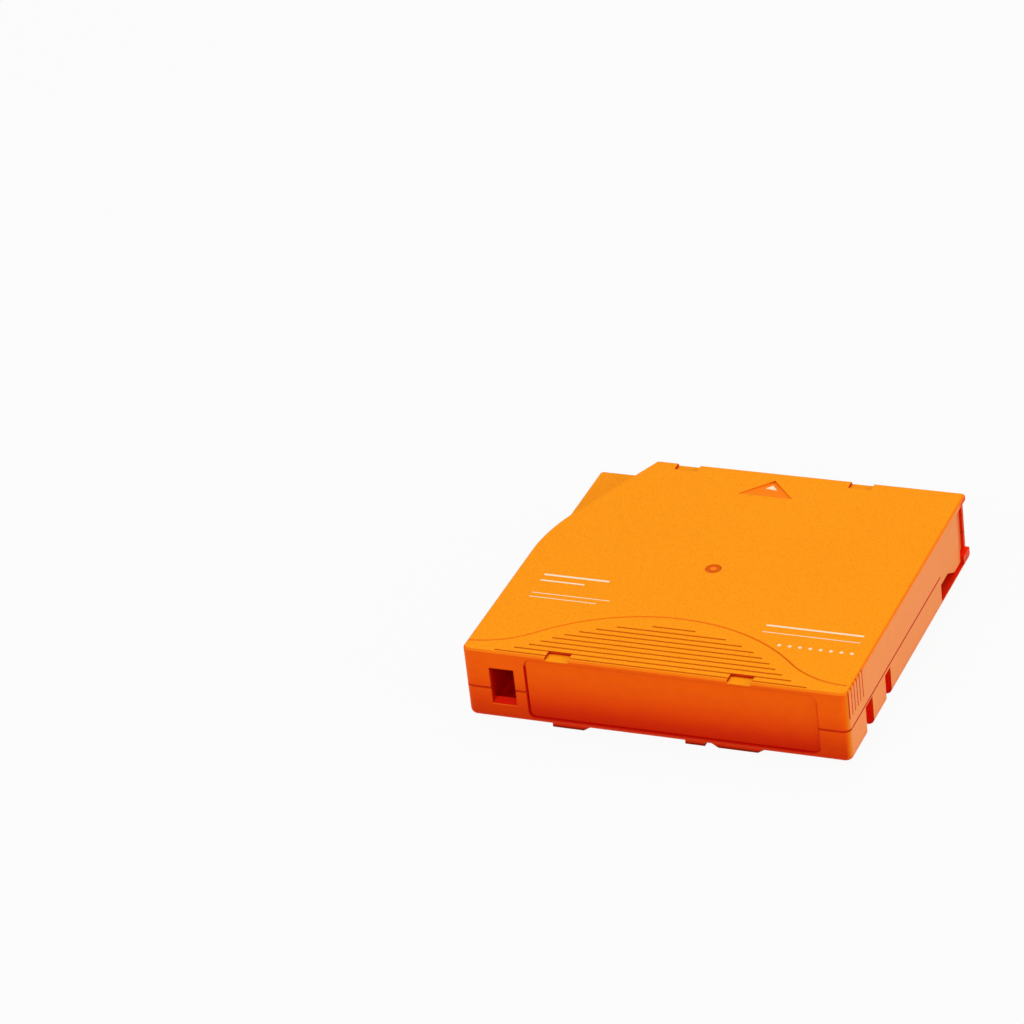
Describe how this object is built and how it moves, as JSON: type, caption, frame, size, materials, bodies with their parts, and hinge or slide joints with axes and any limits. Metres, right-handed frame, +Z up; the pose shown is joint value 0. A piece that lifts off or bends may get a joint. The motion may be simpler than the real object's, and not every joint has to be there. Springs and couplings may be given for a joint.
{
  "type": "tape cleaning cartridge",
  "caption": "Flat square cartridge with one reel of cleaning tape, a sliding access door, a reel brake and finger grips, which a tape drive takes in to clean its head.",
  "frame": {"origin": "under the middle of the case, on the plane that the feet stand on", "axes": "+X to the right along the label face, +Y the way the cartridge goes into a drive, +Z up through the roof"},
  "size_m": [0.1054, 0.102, 0.0215],
  "materials": {
    "shell_plastic": "fine matte grain",
    "reel_plastic": "smooth moulded",
    "brake_plastic": "smooth moulded",
    "tape_film": "wound film edge",
    "spring_steel": "drawn wire",
    "pin_steel": "turned",
    "screw_steel": "zinc plated",
    "board_resin": "solder mask",
    "chip_resin": "moulded",
    "coil_copper": "etched track"
  },
  "bodies": {
    "case": {"lower_shell": "shell_plastic", "upper_shell": "shell_plastic", "case_screws": "screw_steel", "leader_pin": "pin_steel", "leader_clip": "brake_plastic", "tape_leader": "tape_film", "pin_spring_lower": "spring_steel", "pin_spring_upper": "spring_steel", "memory_board": "board_resin", "memory_chip": "chip_resin", "memory_coil": "coil_copper", "brake_spring": "spring_steel", "door_spring": "spring_steel"},
    "reel": {"reel_hub": "reel_plastic", "upper_flange": "reel_plastic", "reel_plate": "pin_steel", "cleaning_tape": "tape_film"},
    "brake": {"brake_button": "brake_plastic"},
    "pad": {"release_pad": "brake_plastic"},
    "door": {"access_door": "shell_plastic"}
  },
  "joints": [
    {"name": "reel_spin", "type": "hinge", "parent": "case", "child": "reel", "pos_m": [-0.0011, 0, 0.01], "axis": [0, 0, 1], "continuous": true},
    {"name": "brake_lift", "type": "slide", "parent": "case", "child": "brake", "axis": [0, 0, 1], "range_m": [0, 0.0022], "stiffness_N_per_m": 300, "springref_m": -0.006, "deforming": ["brake_spring"]},
    {"name": "pad_lift", "type": "slide", "parent": "reel", "child": "pad", "axis": [0, 0, 1], "range_m": [0, 0.0022]},
    {"name": "door_slide", "type": "slide", "parent": "case", "child": "door", "axis": [0, -1, 0], "range_m": [0, 0.02], "stiffness_N_per_m": 25, "springref_m": -0.012, "deforming": ["door_spring"]}
  ],
  "couplings": [
    {"joint": "pad_lift", "follows": "brake_lift", "ratio": 1}
  ]
}
